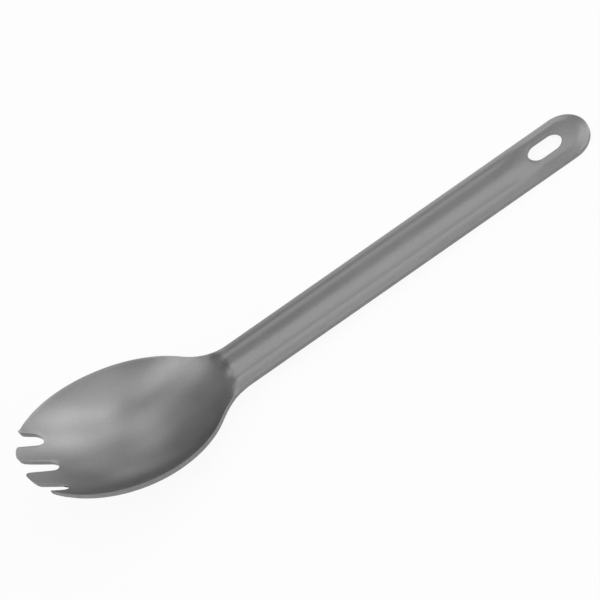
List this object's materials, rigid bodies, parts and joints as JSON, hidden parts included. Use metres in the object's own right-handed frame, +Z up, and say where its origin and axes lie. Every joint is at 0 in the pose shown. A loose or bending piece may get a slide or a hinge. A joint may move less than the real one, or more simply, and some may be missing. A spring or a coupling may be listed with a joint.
{
  "type": "spork",
  "caption": "One-piece titanium spork: oval bowl with four short tines and a long ribbed handle with a hang slot.",
  "frame": {"origin": "centre of the footprint, at the level of the surface that the bowl and the handle's end rest on", "axes": "+X from the tines towards the handle's end, +Z up out of the bowl"},
  "size_m": [0.164, 0.0396, 0.0215],
  "materials": {
    "titanium": "blasted matt titanium"
  },
  "bodies": {
    "root": {"spork": "titanium"}
  },
  "joints": []
}
